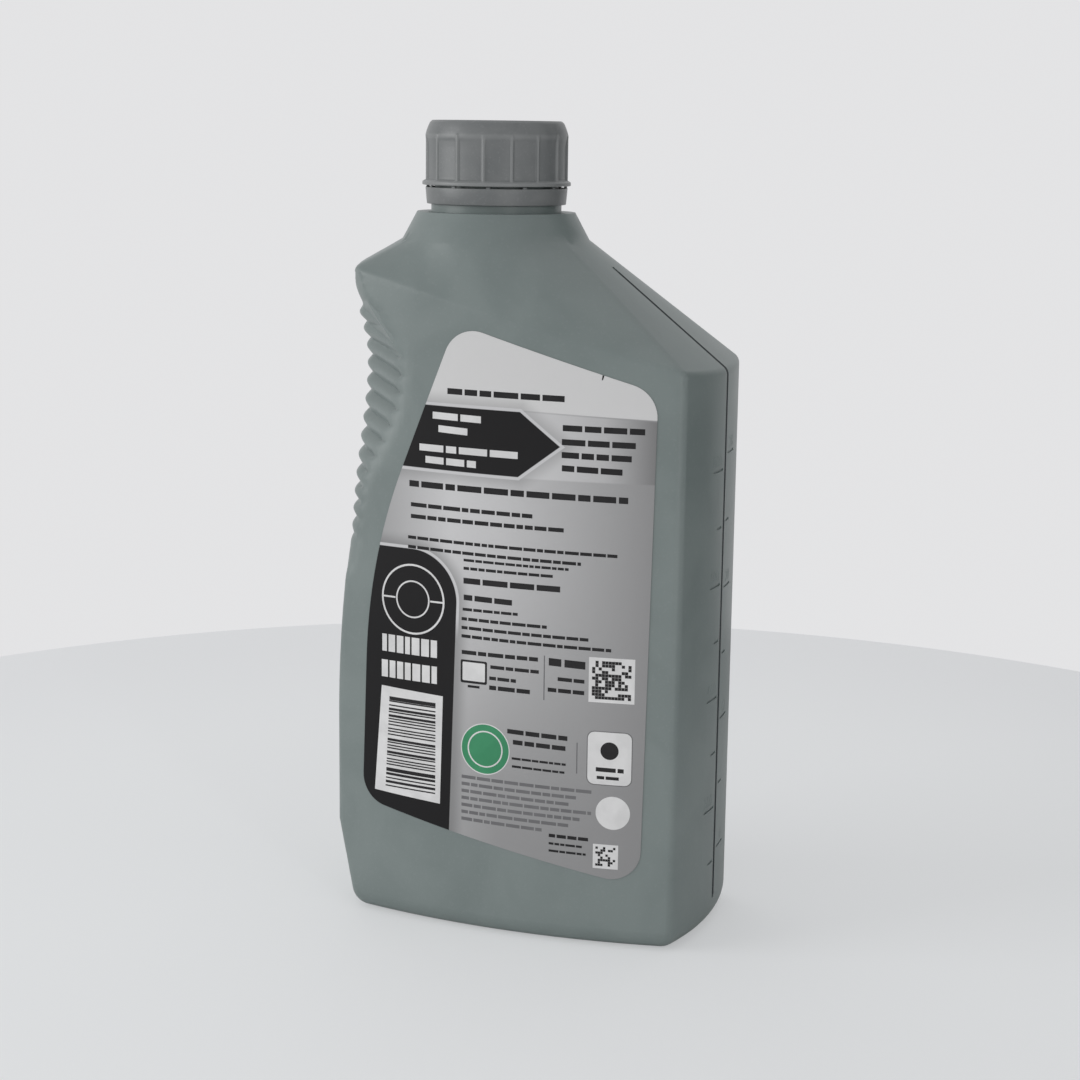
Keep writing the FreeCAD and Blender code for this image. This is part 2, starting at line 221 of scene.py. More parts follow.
# The part of the mesh that is carved: its reach, and how finely it is cut
grip_foot, grip_head = 98.0, 190.0
grip_outer, grip_inner, grip_half_depth = -54.0, -24.0, 30.0
level_step, upright_step = 0.8, 1.5
smooth_above, smooth_left = 174.0, -30.0
neck_foot = 200.0


def ease(value, start, end):
    """0 before start, 1 after end, smooth between."""
    share = min(max((value - start) / (end - start), 0.0), 1.0)
    return share * share * (3 - 2 * share)


def soft_larger(first, second, width):
    """The larger of two distances, rounded off where they come within width of each other."""
    overlap = max(width - abs(first - second), 0.0) / width
    return max(first, second) + overlap * overlap * width / 4


def relief_at(height):
    """How far the left side has sunk in at a height."""
    rise = height - relief_start
    radius = (relief_length ** 2 + relief_depth ** 2) / (4 * relief_depth)
    if rise <= 0:
        return 0.0
    if rise >= relief_length:
        return relief_depth
    if rise < relief_length / 2:
        return radius - math.sqrt(radius ** 2 - rise ** 2)
    return relief_depth - radius + math.sqrt(radius ** 2 - (relief_length - rise) ** 2)


def rib_dip(height):
    """Depth under the crests of the ribs. They grow from nothing at the foot of the grip."""
    count = (height - first_rib) / rib_pitch
    last = rib_count - 0.5
    if count >= last:
        return rib_depth * (1 - ease(count, last, last + 1.4))
    wave = count - round(count)
    dip = 0.2 * (1 - math.cos(2 * math.pi * wave)) + 0.6 * (2 * wave) ** 2
    return 1.08 * rib_depth * dip * min(1.0, max(0.0, (count + 1.5) / 2.5))


def off_grip(x, y, z):
    """Distance outside the soft form of the grip, negative inside it."""
    across = abs(y)
    face = across - (half_depth - face_radius + math.sqrt(face_radius ** 2 - x * x))
    axis = side_radius - half_width
    side = math.hypot(x - axis, y) - (side_radius - relief_at(z) - rib_dip(z))
    along = x + mitre_x
    height = z + rib_tan * along
    span = scoop_up if height > scoop_height else scoop_down
    share = min(1.0, abs(height - scoop_height) / span)
    reach = scoop_near + scoop_fade * (1 - math.cos(math.pi * share)) / 2
    top = first_rib + (rib_count - 0.5) * rib_pitch
    foot = first_rib - 0.5 * rib_pitch
    reach += max(0.0, height - top) / run_out + max(0.0, foot - height) * 0.3
    dip = rib_dip(height) * ease(-face, -0.3, 2.8)
    slant = 1 - 0.3 * ease(height, 158, 180)
    scoop = (across - slant * along - reach) / math.hypot(1, slant) + dip
    return soft_larger(soft_larger(face, side, corner_soft), scoop, scoop_soft)


def share_of_grip(x, z):
    """1 in the middle of the grip, 0 where the form stays as the frame has it."""
    shoulder = shoulder_height - math.tan(math.radians(shoulder_slope)) * x
    under_shoulder = 1 - ease(z, shoulder - 9, shoulder - 4)
    return ease(z, grip_foot, grip_foot + 6) * under_shoulder * (1 - ease(x, grip_inner - 4, grip_inner))


def outer_skin(bm, top):
    """Faces of the outside below a height, reached from the foot without going over the rim."""
    start = min(bm.faces, key=lambda face: face.calc_center_median().z)
    found, waiting = {start}, [start]
    while waiting:
        for edge in waiting.pop().edges:
            for face in edge.link_faces:
                if face not in found and face.calc_center_median().z < top:
                    found.add(face)
                    waiting.append(face)
    return [face for face in bm.faces if face in found]


def region(faces):
    """Faces with their edges and corners, for an operator."""
    edges = {edge for face in faces for edge in face.edges}
    corners = {corner for face in faces for corner in face.verts}
    return list(faces) + list(edges) + list(corners)


def cut_fine(bm, geometry, normal, places):
    """Cut part of a mesh along level or upright planes, and give back all of that part."""
    for place in places:
        geometry = bmesh.ops.bisect_plane(bm, geom=geometry, dist=1e-6, plane_co=normal * place,
                                          plane_no=normal)["geom"]
    return geometry


def spaced(start, end, step):
    """Even places from start to end."""
    count = round((end - start) / step)
    return [start + (end - start) * number / count for number in range(count + 1)]


def moved_to_grip(corner):
    """Bring one corner of the mesh on to the soft form of the grip."""
    x, y, z = corner.co
    reach = 0.02
    for _ in range(4):
        off = off_grip(x, y, z)
        slope_x = (off_grip(x + reach, y, z) - off) / reach
        slope_y = (off_grip(x, y + reach, z) - off) / reach
        steep = max(slope_x ** 2 + slope_y ** 2, 0.25)
        x -= off * slope_x / steep
        y -= off * slope_y / steep
    corner.co = corner.co.lerp(Vector((x, y, z)), share_of_grip(*corner.co.xz))


def mark_sharp(bm, limit):
    """Edges whose faces turn by more than limit degrees show as sharp."""
    for face in bm.faces:
        face.smooth = True
    for edge in bm.edges:
        edge.smooth = len(edge.link_faces) == 2 and edge.calc_face_angle() < math.radians(limit)


def finished(name, bm, material, body):
    """Turn a mesh in millimetres into a piece that rides on a body."""
    bmesh.ops.scale(bm, vec=(0.001, 0.001, 0.001), verts=bm.verts)
    mesh = bpy.data.meshes.new(name)
    bm.to_mesh(mesh)
    bm.free()
    piece = bpy.data.objects.new(name, mesh)
    bpy.context.scene.collection.objects.link(piece)
    for one in material if isinstance(material, list) else [material]:
        mesh.materials.append(one)
    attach(piece, body)
    return piece


bm = bmesh.new()
bm.from_mesh(nodes["bottle"].data)
bmesh.ops.remove_doubles(bm, verts=bm.verts, dist=1e-6)
bmesh.ops.scale(bm, vec=(1000, 1000, 1000), verts=bm.verts)
grip = []
for face in outer_skin(bm, neck_foot):
    low_x = min(corner.co.x for corner in face.verts)
    low_z = min(corner.co.z for corner in face.verts)
    high_z = max(corner.co.z for corner in face.verts)
    if low_x < grip_inner and high_z > grip_foot and low_z < grip_head + 2:
        grip.append(face)
grip = cut_fine(bm, region(grip), Vector((0, 0, 1)), spaced(grip_foot, grip_head, level_step))
grip = cut_fine(bm, grip, Vector((1, 0, 0)), spaced(grip_outer, grip_inner, upright_step))
grip = cut_fine(bm, grip, Vector((0, 1, 0)), spaced(-grip_half_depth, grip_half_depth, upright_step))
grip = [part for part in grip if isinstance(part, bmesh.types.BMFace)]
grip = bmesh.ops.triangulate(bm, faces=grip)["faces"]
corners = {corner for face in grip for corner in face.verts}
for corner in corners:
    if share_of_grip(*corner.co.xz) > 0:
        moved_to_grip(corner)
top = [corner for corner in corners if corner.co.z > smooth_above and corner.co.x < smooth_left]
for _ in range(8):
    bmesh.ops.smooth_vert(bm, verts=top, factor=0.5,
                          use_axis_x=True, use_axis_y=True, use_axis_z=True)
mark_sharp(bm, 32)
bottle_skin = finished("bottle_skin", bm, bottle_plastic, "bottle")
weighted = bottle_skin.modifiers.new("even_shading", "WEIGHTED_NORMAL")
weighted.keep_sharp = True
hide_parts("bottle")


# The oil is a clear amber liquid that fills the bottle to just under its shoulder.
# It stands still, so it keeps the solid's own mesh.

oil_amber, tree, shader, place = new_material("oil_amber")
haze = put(tree, "TexNoise", Vector=place, Scale=0.05, Detail=2.0).outputs["Fac"]
amber = blended(tree, haze, (0.30, 0.145, 0.028, 1), (0.35, 0.18, 0.036, 1))
tree.links.new(amber, shader.inputs["Base Color"])
shader.inputs["Roughness"].default_value = 0.06
shader.inputs["IOR"].default_value = 1.47
nodes["oil"].material_slots[0].material = oil_amber


# A printed plastic film is glued to each broad face. The one at the back has a white head,
# a dark band that ends in a point, a silver field and a dark panel at its lower left.

film_black = (0.0125, 0.0120, 0.0128, 1)
film_silver = (0.60, 0.60, 0.61, 1)
film_white = (0.66, 0.66, 0.66, 1)
film_shadow = (0.12, 0.12, 0.12, 1)
film_left, film_right = -42.0, 44.0
film_rise = 0.2
film_radius = face_radius + film_rise


def half_plane(tree, flat, start, end):
    """Distance in millimetres to the left of the line from start to end."""
    along = (Vector(end) - Vector(start)).normalized()
    normal = (-along.y, along.x)
    offset = -(normal[0] * start[0] + normal[1] * start[1])
    distance = put(tree, "VectorMath", operation="DOT_PRODUCT", in0=flat, in1=(*normal, offset))
    return distance.outputs["Value"]


def depth_inside(tree, flat, corners):
    """Distance inside a convex outline whose corners are given anticlockwise."""
    least = None
    for start, end in zip(corners, corners[1:] + corners[:1]):
        inside = half_plane(tree, flat, start, end)
        least = inside if least is None else calc(tree, "MINIMUM", least, inside)
    return least


def greys(tree, value, start, end, steps):
    """Grey that changes with a value between start and end, through (share, grey) steps."""
    share = put(tree, "MapRange", Value=value, From_Min=start, From_Max=end,
                To_Min=0.0, To_Max=1.0).outputs[0]
    ramp = put(tree, "ValToRGB", Fac=share)
    bands = ramp.color_ramp.elements
    while len(bands) < len(steps):
        bands.new(0.5)
    for band, (place, grey) in zip(bands, steps):
        band.position = place
        band.color = (grey, grey, grey * 1.01, 1)
    return ramp.outputs["Color"]


def film_material(name):
    """Start a film. Gives its material, tree, shader, its place on each axis, and its flat place."""
    material, tree, shader, place = new_material(name)
    axes = put(tree, "SeparateXYZ", in0=place).outputs
    flat = put(tree, "CombineXYZ", in0=axes["X"], in1=axes["Z"], in2=1.0).outputs[0]
    skin = skin_of(tree, place, 1.1, 18.0, 0.35)
    bump = put(tree, "Bump", Strength=0.25, Distance=0.00003, Height=skin["Height"])
    tree.links.new(bump.outputs[0], shader.inputs["Normal"])
    roughness = calc(tree, "MULTIPLY_ADD", skin["Cloud"], 0.05, 0.36)
    roughness = calc(tree, "MULTIPLY_ADD", skin["Rub"], 0.08, roughness)
    tree.links.new(roughness, shader.inputs["Roughness"])
    shader.inputs["Specular IOR Level"].default_value = 0.15
    return material, tree, shader, axes, flat


back_film, tree, shader, axes, flat = film_material("back_film")
across, upright = axes["X"], axes["Z"]
# The greys across the silver field are the print's own, with painted shade that darkens them towards the
# edges of the crowned face, most towards the right.
upper_greys_painted_shade = greys(tree, across, film_left, film_right,
            [(0.0, 0.32), (0.14, 0.44), (0.33, 0.62), (0.5, 0.57), (0.72, 0.45), (1.0, 0.295)])
lower_greys_painted_shade = greys(tree, across, film_left, film_right,
            [(0.0, 0.31), (0.3, 0.38), (0.5, 0.30), (0.8, 0.29), (1.0, 0.27)])
field = blended(tree, eased(tree, upright, 128.0, 22.0), upper_greys_painted_shade, lower_greys_painted_shade)
# The band's greys are its print with painted shade, darker towards its right end.
band_greys_painted_shade = greys(tree, across, 8.0, film_right, [(0.0, 0.61), (0.35, 0.56), (0.62, 0.49), (1.0, 0.22)])
under_head = half_plane(tree, flat, (44.0, 148.8), (-21.0, 150.9))
in_band = calc(tree, "MULTIPLY", eased(tree, under_head, 0.0, 0.4), eased(tree, upright, 131.4, 131.9))
field = blended(tree, in_band, field, band_greys_painted_shade)
field = blended(tree, eased(tree, under_head, 0.0, -0.3), field, film_white)

# The dark band with its point, a pale rim and a soft shadow round it
point = [(-40.0, 132.7), (6.3, 131.9), (18.1, 140.8), (6.7, 149.7), (-40.0, 150.3)]
to_point = depth_inside(tree, flat, point)
field = blended(tree, calc(tree, "MULTIPLY", eased(tree, to_point, -5.0, 0.0), 0.35), field, film_shadow)
field = blended(tree, eased(tree, to_point, -0.95, -0.75), field, film_silver)
field = blended(tree, eased(tree, to_point, -0.1, 0.1), field, film_black)

# The dark panel at the lower left. Its upper right corner is round, and its side leans a little.
corner_x, corner_z, corner_radius = -25.6, 95.3, 14.0
below = calc(tree, "MAXIMUM", calc(tree, "SUBTRACT", corner_z, upright), 0.0)
lean = calc(tree, "MULTIPLY", below, 0.03)
off_x = calc(tree, "ADD", calc(tree, "SUBTRACT", across, corner_x), lean)
off_z = calc(tree, "SUBTRACT", upright, corner_z)
out_x = calc(tree, "MAXIMUM", off_x, 0.0)
out_z = calc(tree, "MAXIMUM", off_z, 0.0)
squares = calc(tree, "ADD", calc(tree, "POWER", out_x, 2.0), calc(tree, "POWER", out_z, 2.0))
round_off = calc(tree, "SQRT", squares)
within = calc(tree, "MINIMUM", calc(tree, "MAXIMUM", off_x, off_z), 0.0)
to_panel = calc(tree, "SUBTRACT", calc(tree, "ADD", round_off, within), corner_radius)
field = blended(tree, calc(tree, "MULTIPLY", eased(tree, to_panel, 5.0, 0.0), 0.5), field, film_shadow)
rim = calc(tree, "MULTIPLY", eased(tree, to_panel, 0.95, 0.75), eased(tree, upright, 84.0, 92.0))
field = blended(tree, rim, field, film_silver)
field = blended(tree, eased(tree, to_panel, 0.1, -0.1), field, film_black)
tree.links.new(field, shader.inputs["Base Color"])
nodes["back_label"].material_slots[0].material = back_film

# The hidden face is guessed: a pale head, a silver field and a dark foot, with slanted borders
front_film, tree, shader, axes, flat = film_material("front_film")
field = greys(tree, axes["X"], film_left, film_right,
              [(0.0, 0.30), (0.4, 0.50), (0.7, 0.42), (1.0, 0.24)])
low_field = half_plane(tree, flat, (film_right, 78.0), (film_left, 92.0))
field = blended(tree, eased(tree, low_field, -0.9, -0.6), field, film_silver)
field = blended(tree, eased(tree, low_field, -0.1, 0.1), field, film_black)
top_field = half_plane(tree, flat, (film_left, 152.0), (film_right, 140.0))
field = blended(tree, eased(tree, top_field, -0.1, 0.1), field, (0.53, 0.53, 0.53, 1))
tree.links.new(field, shader.inputs["Base Color"])
nodes["front_label"].material_slots[0].material = front_film


# The small print is ink on the film: plain bars where words would be, blocks, rings and boxes.
# Each shape is a thin layer that follows the crown of the face.

def ink(name, colour):
    """Ink of one colour, a little uneven as it lies on the film."""
    material, tree, shader, place = new_material(name)
    skin = skin_of(tree, place, 0.3, 7.0, 0.3)
    uneven = tuple(min(1.0, part * 1.12 + 0.004) for part in colour) + (1,)
    tree.links.new(blended(tree, skin["Cloud"], (*colour, 1), uneven), shader.inputs["Base Color"])
    tree.links.new(calc(tree, "MULTIPLY_ADD", skin["Height"], 0.1, 0.32), shader.inputs["Roughness"])
    shader.inputs["Specular IOR Level"].default_value = 0.15
    return material


inks = [
    ink("ink_dark", (0.018, 0.0175, 0.0185)),
    ink("ink_white", (0.65, 0.65, 0.65)),
    ink("ink_green", (0.050, 0.245, 0.122)),
    ink("ink_grey", (0.150, 0.150, 0.155)),
]
dark, white, green, grey = range(4)
ink_height = 0.01
bend_step = 4


class Print:
    """Flat shapes on one label, in the X and Z of its face."""

    def __init__(self):
        self.bm = bmesh.new()
        self.level = self.bm.faces.layers.int.new("level")

    def laid(self, face, colour, level):
        """Give a face its ink, and its level in the stack of inks."""
        face.material_index = colour
        face[self.level] = level
        return face

    def plate(self, corners, colour, level=1):
        """Shape with straight sides."""
        bm = self.bm
        face = bm.faces.new([bm.verts.new((x, 0, z)) for x, z in corners])
        return self.laid(face, colour, level)

    def bar(self, left, right, middle, high, colour, level=1, fall=0.0):
        """Bar from left to right, whose right end lies lower by fall."""
        half = high / 2
        self.plate([(left, middle - half), (right, middle - fall - half),
                    (right, middle - fall + half), (left, middle + half)], colour, level)

    def words(self, left, right, middle, high, colour, level=1, fall=0.0):
        """Row of bars as long as words are, with gaps between them."""
        start = left
        while start < right - high:
            end = min(start + high * chance.uniform(1.6, 4.6), right)
            if right - end < high:
                end = right
            drop = fall * (start - left) / (right - left)
            self.bar(start, end, middle - drop, high, colour, level,
                     fall * (end - start) / (right - left))
            start = end + 0.42 * high

    def rounded(self, left, right, low, high, radius, colour, level=1):
        """Box with rounded corners."""
        face = self.plate([(left, low), (right, low), (right, high), (left, high)], colour, level)
        bmesh.ops.bevel(self.bm, geom=list(face.verts), offset=radius, segments=4, profile=0.5,
                        affect="VERTICES", material=-1)

    def disc(self, x, z, radius, colour, level=1, hole=0.0):
        """Disc, or a ring when it has a hole."""
        turned = Matrix.Translation((x, 0, z)) @ Matrix.Rotation(math.pi / 2, 4, "X")
        made = bmesh.ops.create_circle(self.bm, cap_ends=True, segments=48, radius=radius,
                                       matrix=turned)
        face = self.laid(made["verts"][0].link_faces[0], colour, level)
        if hole:
            bmesh.ops.inset_region(self.bm, faces=[face], thickness=radius - hole,
                                   use_even_offset=True, use_boundary=True)
            bmesh.ops.delete(self.bm, geom=[face], context="FACES_ONLY")

    def finish(self, name, side):
        """Give the shapes their thickness and lay them on the film, side -1 or 1 for the face."""
        bm = self.bm
        bmesh.ops.reverse_faces(bm, faces=[face for face in bm.faces if face.normal.y > 0])
        for place in range(-40, 44, bend_step):
            geometry = list(bm.verts) + list(bm.edges) + list(bm.faces)
            bmesh.ops.bisect_plane(bm, geom=geometry, dist=1e-5, plane_co=(place, 0, 0),
                                   plane_no=(1, 0, 0))
        top = bmesh.ops.extrude_face_region(bm, geom=list(bm.faces), use_keep_orig=True)["geom"]
        for face in [part for part in top if isinstance(part, bmesh.types.BMFace)]:
            for corner in face.verts:
                corner.co.y = -ink_height * face[self.level]
        for corner in bm.verts:
            bent = math.sqrt(film_radius ** 2 - corner.co.x ** 2)
            corner.co.y += (film_radius - half_depth - film_rise) - bent
            corner.co.y *= -side
        bm.faces.layers.int.remove(self.level)
        bmesh.ops.recalc_face_normals(bm, faces=bm.faces)
        return finished(name, bm, inks, "bottle")


chance = random.Random(41)
back = Print()
for left, right, middle, high, fall in (
    (-14.7, 19.2, 154.2, 2.0, 0.4),
    (18.8, 41.0, 146.0, 2.0, 0.2), (18.6, 38.6, 142.2, 2.0, 0.2),
    (18.6, 37.6, 138.7, 2.0, 0.3), (18.7, 35.2, 135.1, 2.0, 0.4),
    (-26.5, 36.9, 127.8, 2.1, 0.7),
    (-26.0, 10.6, 121.9, 1.4, 0.5), (-26.0, 20.9, 118.6, 1.4, 0.5),
    (-26.9, 34.3, 112.6, 1.1, 0.8), (-26.9, 24.4, 109.9, 1.1, 0.8),
    (-9.5, 21.0, 107.7, 0.9, 0.3), (-9.5, 16.6, 105.4, 1.0, 0.2),
    (-9.5, 20.8, 101.9, 2.0, 0.2), (-9.4, 5.0, 97.2, 1.9, 0.3), (-9.7, 6.7, 93.8, 1.0, 0.0),
    (-10.0, 15.1, 91.1, 1.1, 0.2), (-10.0, 26.8, 88.6, 1.1, 0.4), (-10.0, 34.1, 86.2, 1.1, 0.6),
    (-9.9, 12.7, 81.6, 1.4, 0.0), (-1.2, 13.0, 78.2, 1.2, 0.1), (-1.5, 6.4, 75.0, 1.2, 0.1),
    (-1.5, 10.5, 72.3, 1.5, 0.1), (15.8, 26.1, 81.3, 2.6, 0.4), (18.4, 25.9, 76.6, 1.3, 0.2),
    (15.6, 25.9, 73.4, 1.4, 0.2), (4.0, 21.4, 60.4, 1.6, 0.5), (5.7, 20.9, 57.4, 1.6, 0.4),
    (5.4, 21.8, 52.7, 0.8, 0.3), (5.5, 20.7, 50.4, 0.8, 0.3),
    (16.5, 27.7, 31.6, 1.2, 0.2), (16.5, 26.8, 29.3, 0.8, 0.2), (16.5, 27.1, 27.2, 0.8, 0.2),
):
    back.words(left, right, middle, 0.82 * high, dark, 1, fall)
for row in range(7):
    right = 28.4 - 3.2 * (row % 3) - (14 if row == 6 else 0)
    back.words(-9.7, right, 45.7 - 2.05 * row, 0.95, grey, 1, 0.5)
for left, right, middle in (
    (-19.2, -4.6, 147.3), (-17.4, -8.6, 143.7), (-23.3, 6.2, 138.2), (-21.4, -6.0, 134.9),
):
    back.words(left, right, middle, 1.9, white, 1, 0.4)

ring_x, ring_z = -25.4, 94.9
back.disc(ring_x, ring_z, 10.1, white, 1, 9.55)
back.disc(ring_x, ring_z, 5.4, white, 1, 4.95)
for side in (-1, 1):
    spoke = ring_x + side * 7.6
    back.bar(spoke - 2.0, spoke + 2.0, ring_z, 0.5, white)
for left, right, middle in ((-35.4, -17.6, 81.4), (-35.6, -17.6, 73.9)):
    start = left
    while start < right - 1.2:
        end = min(start + chance.uniform(1.5, 2.6), right)
        back.bar(start, end, middle, 5.0, white)
        start = end + 0.55
back.plate([(-38.0, 37.6), (-16.5, 36.6), (-15.7, 68.1), (-35.6, 68.8)], white)
height = 39.4
while height < 66.6:
    thick = chance.choice((0.4, 0.4, 0.75, 1.1))
    back.bar(-34.4 + (height - 38) * 0.05, -18.0, height, thick, dark, 2)
    height += thick + chance.choice((0.4, 0.5, 0.8))


def blocks(left, low, side, count):
    """White square with dark blocks scattered on it."""
    right, high = left + side, low + side
    back.plate([(left, low), (right, low), (right, high), (left, high)], white)
    edge = side / (count + 2)
    for row in range(count):
        for place in range(count):
            if chance.random() < 0.52:
                x, z = left + edge * (place + 1), low + edge * (row + 1)
                back.bar(x, x + edge * 0.94, z + edge / 2, edge * 0.94, dark, 2)


blocks(27.1, 70.9, 12.6, 12)
blocks(29.1, 23.4, 7.0, 8)
back.disc(-2.6, 54.4, 7.4, white)
back.disc(-2.6, 54.4, 7.1, green, 2)
back.disc(-2.6, 54.4, 5.3, white, 3, 4.9)
back.rounded(26.9, 39.5, 47.4, 62.8, 2.0, grey)
back.rounded(27.15, 39.25, 47.65, 62.55, 1.85, white, 2)
back.disc(33.2, 57.3, 2.5, dark, 3)
back.words(29.5, 37.2, 51.9, 1.2, dark, 3, 0.1)
back.words(29.8, 37.0, 49.6, 0.9, dark, 3, 0.1)
back.disc(34.4, 39.6, 4.75, white)
back.bar(14.4, 14.7, 76.6, 12.6, grey)
back.bar(24.0, 24.3, 54.6, 8.8, grey)
back.rounded(-10.2, -2.2, 72.9, 79.5, 0.5, dark)
back.rounded(-9.6, -2.8, 73.6, 78.9, 0.3, white, 2)
back.bar(-8.0, -4.4, 72.0, 0.7, dark)
back.plate([(29.2, 159.3), (29.5, 159.3), (29.9, 160.5), (29.4, 160.6)], dark)
back.finish("back_print", -1)

front = Print()
front.rounded(-14.0, 34.0, 100.0, 128.0, 4.0, dark)
front.rounded(-13.2, 33.2, 100.8, 127.2, 3.4, white, 2)
for left, right, middle, high in ((-9.0, 29.0, 119.0, 5.0), (-9.0, 22.0, 109.0, 3.4)):
    front.words(left, right, middle, high, dark, 3)
for left, right, middle, high in (
    (-28.0, 30.0, 70.0, 4.2), (-30.0, 22.0, 61.0, 3.0), (-30.0, 12.0, 53.0, 2.0),
):
    front.words(left, right, middle, high, white)
front.disc(28.0, 44.0, 6.0, white)
front.disc(28.0, 44.0, 5.6, green, 2)
front.finish("front_print", 1)


# The scale down the right side has raised numbers, millilitres on one side of the strip
# and fluid ounces on the other. They were cut into the mould.

number_size, number_height, number_sunk = 4.8, 0.11, 0.06
beside_strip, over_mark = 6.4, 1.1
first_mark, mark_pitch = 19.6, 16.2
first_ounces, ounces_pitch = 22.6, 19.1


def numbers(bm, side, first, pitch, values):
    """Add a column of numbers, side -1 or 1 of the strip, each over its long mark."""
    for place, value in values:
        curve = bpy.data.curves.new("number", "FONT")
        curve.body = str(value)
        curve.size = number_size
        curve.align_x = "CENTER"
        curve.extrude = number_height
        written = bpy.data.objects.new("number", curve)
        mesh = bpy.data.meshes.new_from_object(written)
        mesh.transform(Matrix((
            (0, 0, 1, half_width - number_sunk),
            (1, 0, 0, side * beside_strip),
            (0, 1, 0, first + pitch * place + over_mark),
            (0, 0, 0, 1),
        )))
        bm.from_mesh(mesh)
        bpy.data.objects.remove(written)


bm = bmesh.new()
numbers(bm, -1, first_mark, mark_pitch, ((1, 200), (3, 400), (5, 600), (7, 800)))
numbers(bm, 1, first_ounces, ounces_pitch, ((0, 4), (2, 12), (4, 20), (6, 28)))
bmesh.ops.remove_doubles(bm, verts=bm.verts, dist=1e-4)
for corner in bm.verts:
    corner.co.x -= corner.co.y ** 2 / (2 * side_radius)
finished("scale_numbers", bm, bottle_plastic, "bottle")


# The cap is injection-moulded: a ribbed skirt over a small flange, a top that leans in, and
# a thread inside. The tamper ring below it hangs on twelve small bridges.

neck_x = -13.7
cap_bore, cap_low, cap_high = 19.0, 209.0, 226.8
cap_inside = 225.1
flange_radius, flange_top = 20.9, 209.95
rib_radius, wall_radius, least_radius = 20.2, 19.72, 19.5
rib_foot, rib_head = 209.9, 222.9
rib_total = 16
cap_dark = (0.148, 0.158, 0.160, 1)
cap_pale = (0.178, 0.187, 0.188, 1)
cap_speck = (0.225, 0.232, 0.232, 1)
cap_rib_highlight = (0.27, 0.28, 0.28, 1)

# Ribs and flange are painted paler than the wall between them: a painted highlight where their outer
# edges stand out into the light.
cap_plastic, tree, shader, place = new_material("cap_plastic")
skin = skin_of(tree, place, 0.35, 9.0, 0.4)
base = blended(tree, skin["Cloud"], cap_dark, cap_pale)
base = blended(tree, calc(tree, "MULTIPLY", skin["Speck"], 0.35), base, cap_speck)
off_axis = put(tree, "VectorMath", operation="SUBTRACT", in0=place, in1=(neck_x, 0, 0)).outputs[0]
off_axis = put(tree, "VectorMath", operation="MULTIPLY", in0=off_axis, in1=(1, 1, 0)).outputs[0]
radius = put(tree, "VectorMath", operation="LENGTH", in0=off_axis).outputs["Value"]
# Painted highlight: the outermost ribs and the flange are given a paler colour.
painted_rib_highlight = calc(tree, "MULTIPLY", eased(tree, radius, 19.85, 20.15), 0.55)
base = blended(tree, painted_rib_highlight, base, cap_rib_highlight)
tree.links.new(base, shader.inputs["Base Color"])
roughness = calc(tree, "MULTIPLY_ADD", skin["Cloud"], 0.06, 0.36)
tree.links.new(calc(tree, "MULTIPLY_ADD", skin["Rub"], 0.08, roughness), shader.inputs["Roughness"])
bump = put(tree, "Bump", Strength=0.4, Distance=0.00004, Height=skin["Height"])
tree.links.new(bump.outputs[0], shader.inputs["Normal"])


def spun(bm, corners, soft, steps, share=1.0):
    """Turn a closed outline of (radius, height) corners about Z, its corners rounded by soft."""
    face = bm.faces.new([bm.verts.new((radius, 0, height)) for radius, height in corners])
    off_axis = [corner for corner in face.verts if corner.co.x > 0.5]
    bmesh.ops.bevel(bm, geom=off_axis, offset=soft, segments=3, profile=0.5,
                    affect="VERTICES", material=-1)
    bmesh.ops.delete(bm, geom=list(bm.faces), context="FACES_ONLY")
    outline = [edge for edge in bm.edges if max(abs(corner.co.x) for corner in edge.verts) > 1e-4]
    bmesh.ops.delete(bm, geom=[edge for edge in bm.edges if edge not in outline], context="EDGES")
    bmesh.ops.spin(bm, geom=list(bm.verts) + list(bm.edges), cent=(0, 0, 0), axis=(0, 0, 1),
                   angle=2 * math.pi * share, steps=steps, use_merge=share == 1.0)
    bmesh.ops.remove_doubles(bm, verts=bm.verts, dist=1e-4)


def block_at(bm, size, place, turn, soft):
    """Small box with soft edges, turned about the neck's axis."""
    made = bmesh.ops.create_cube(bm, size=1)["verts"]
    bmesh.ops.scale(bm, vec=size, verts=made)
    edges = {edge for corner in made for edge in corner.link_edges}
    made = bmesh.ops.bevel(bm, geom=list(edges), offset=soft, segments=2, profile=0.5,
                           affect="EDGES", material=-1)["verts"]
    turned = Matrix.Rotation(turn, 4, "Z") @ Matrix.Translation(place)
    bmesh.ops.transform(bm, matrix=turned, verts=made)


# One rib's share of the cap, whose outside is then drawn out along the middle to make the rib
bm = bmesh.new()
wall = [(wall_radius, 210.6 + step) for step in range(10)]
lean_in = [(19.82, 221.2), (20.02, 222.0), (20.05, 222.7), (19.8, 223.7), (19.35, 225.0), (18.8, 226.2)]
outer = [(flange_radius, cap_low), (flange_radius, flange_top)] + wall + lean_in + [(18.1, cap_high)]
corners = [(cap_bore, cap_low)] + outer + [(0, cap_high), (0, cap_inside), (cap_bore, cap_inside)]
spun(bm, corners, 0.22, 36, 1 / rib_total)
for corner in bm.verts:
    radius = math.hypot(corner.co.x, corner.co.y)
    if not least_radius <= radius <= rib_radius or not rib_foot < corner.co.z < rib_head:
        continue
    share = math.atan2(corner.co.y, corner.co.x) * rib_total / (2 * math.pi) - 0.5
    off = abs(share - round(share)) * 2 * math.pi * radius / rib_total
    raised = 1 - ease(off, 0.2, 0.62)
    grown = 1 + (rib_radius - radius) * raised / radius
    corner.co.x *= grown
    corner.co.y *= grown
sector = list(bm.verts) + list(bm.edges) + list(bm.faces)
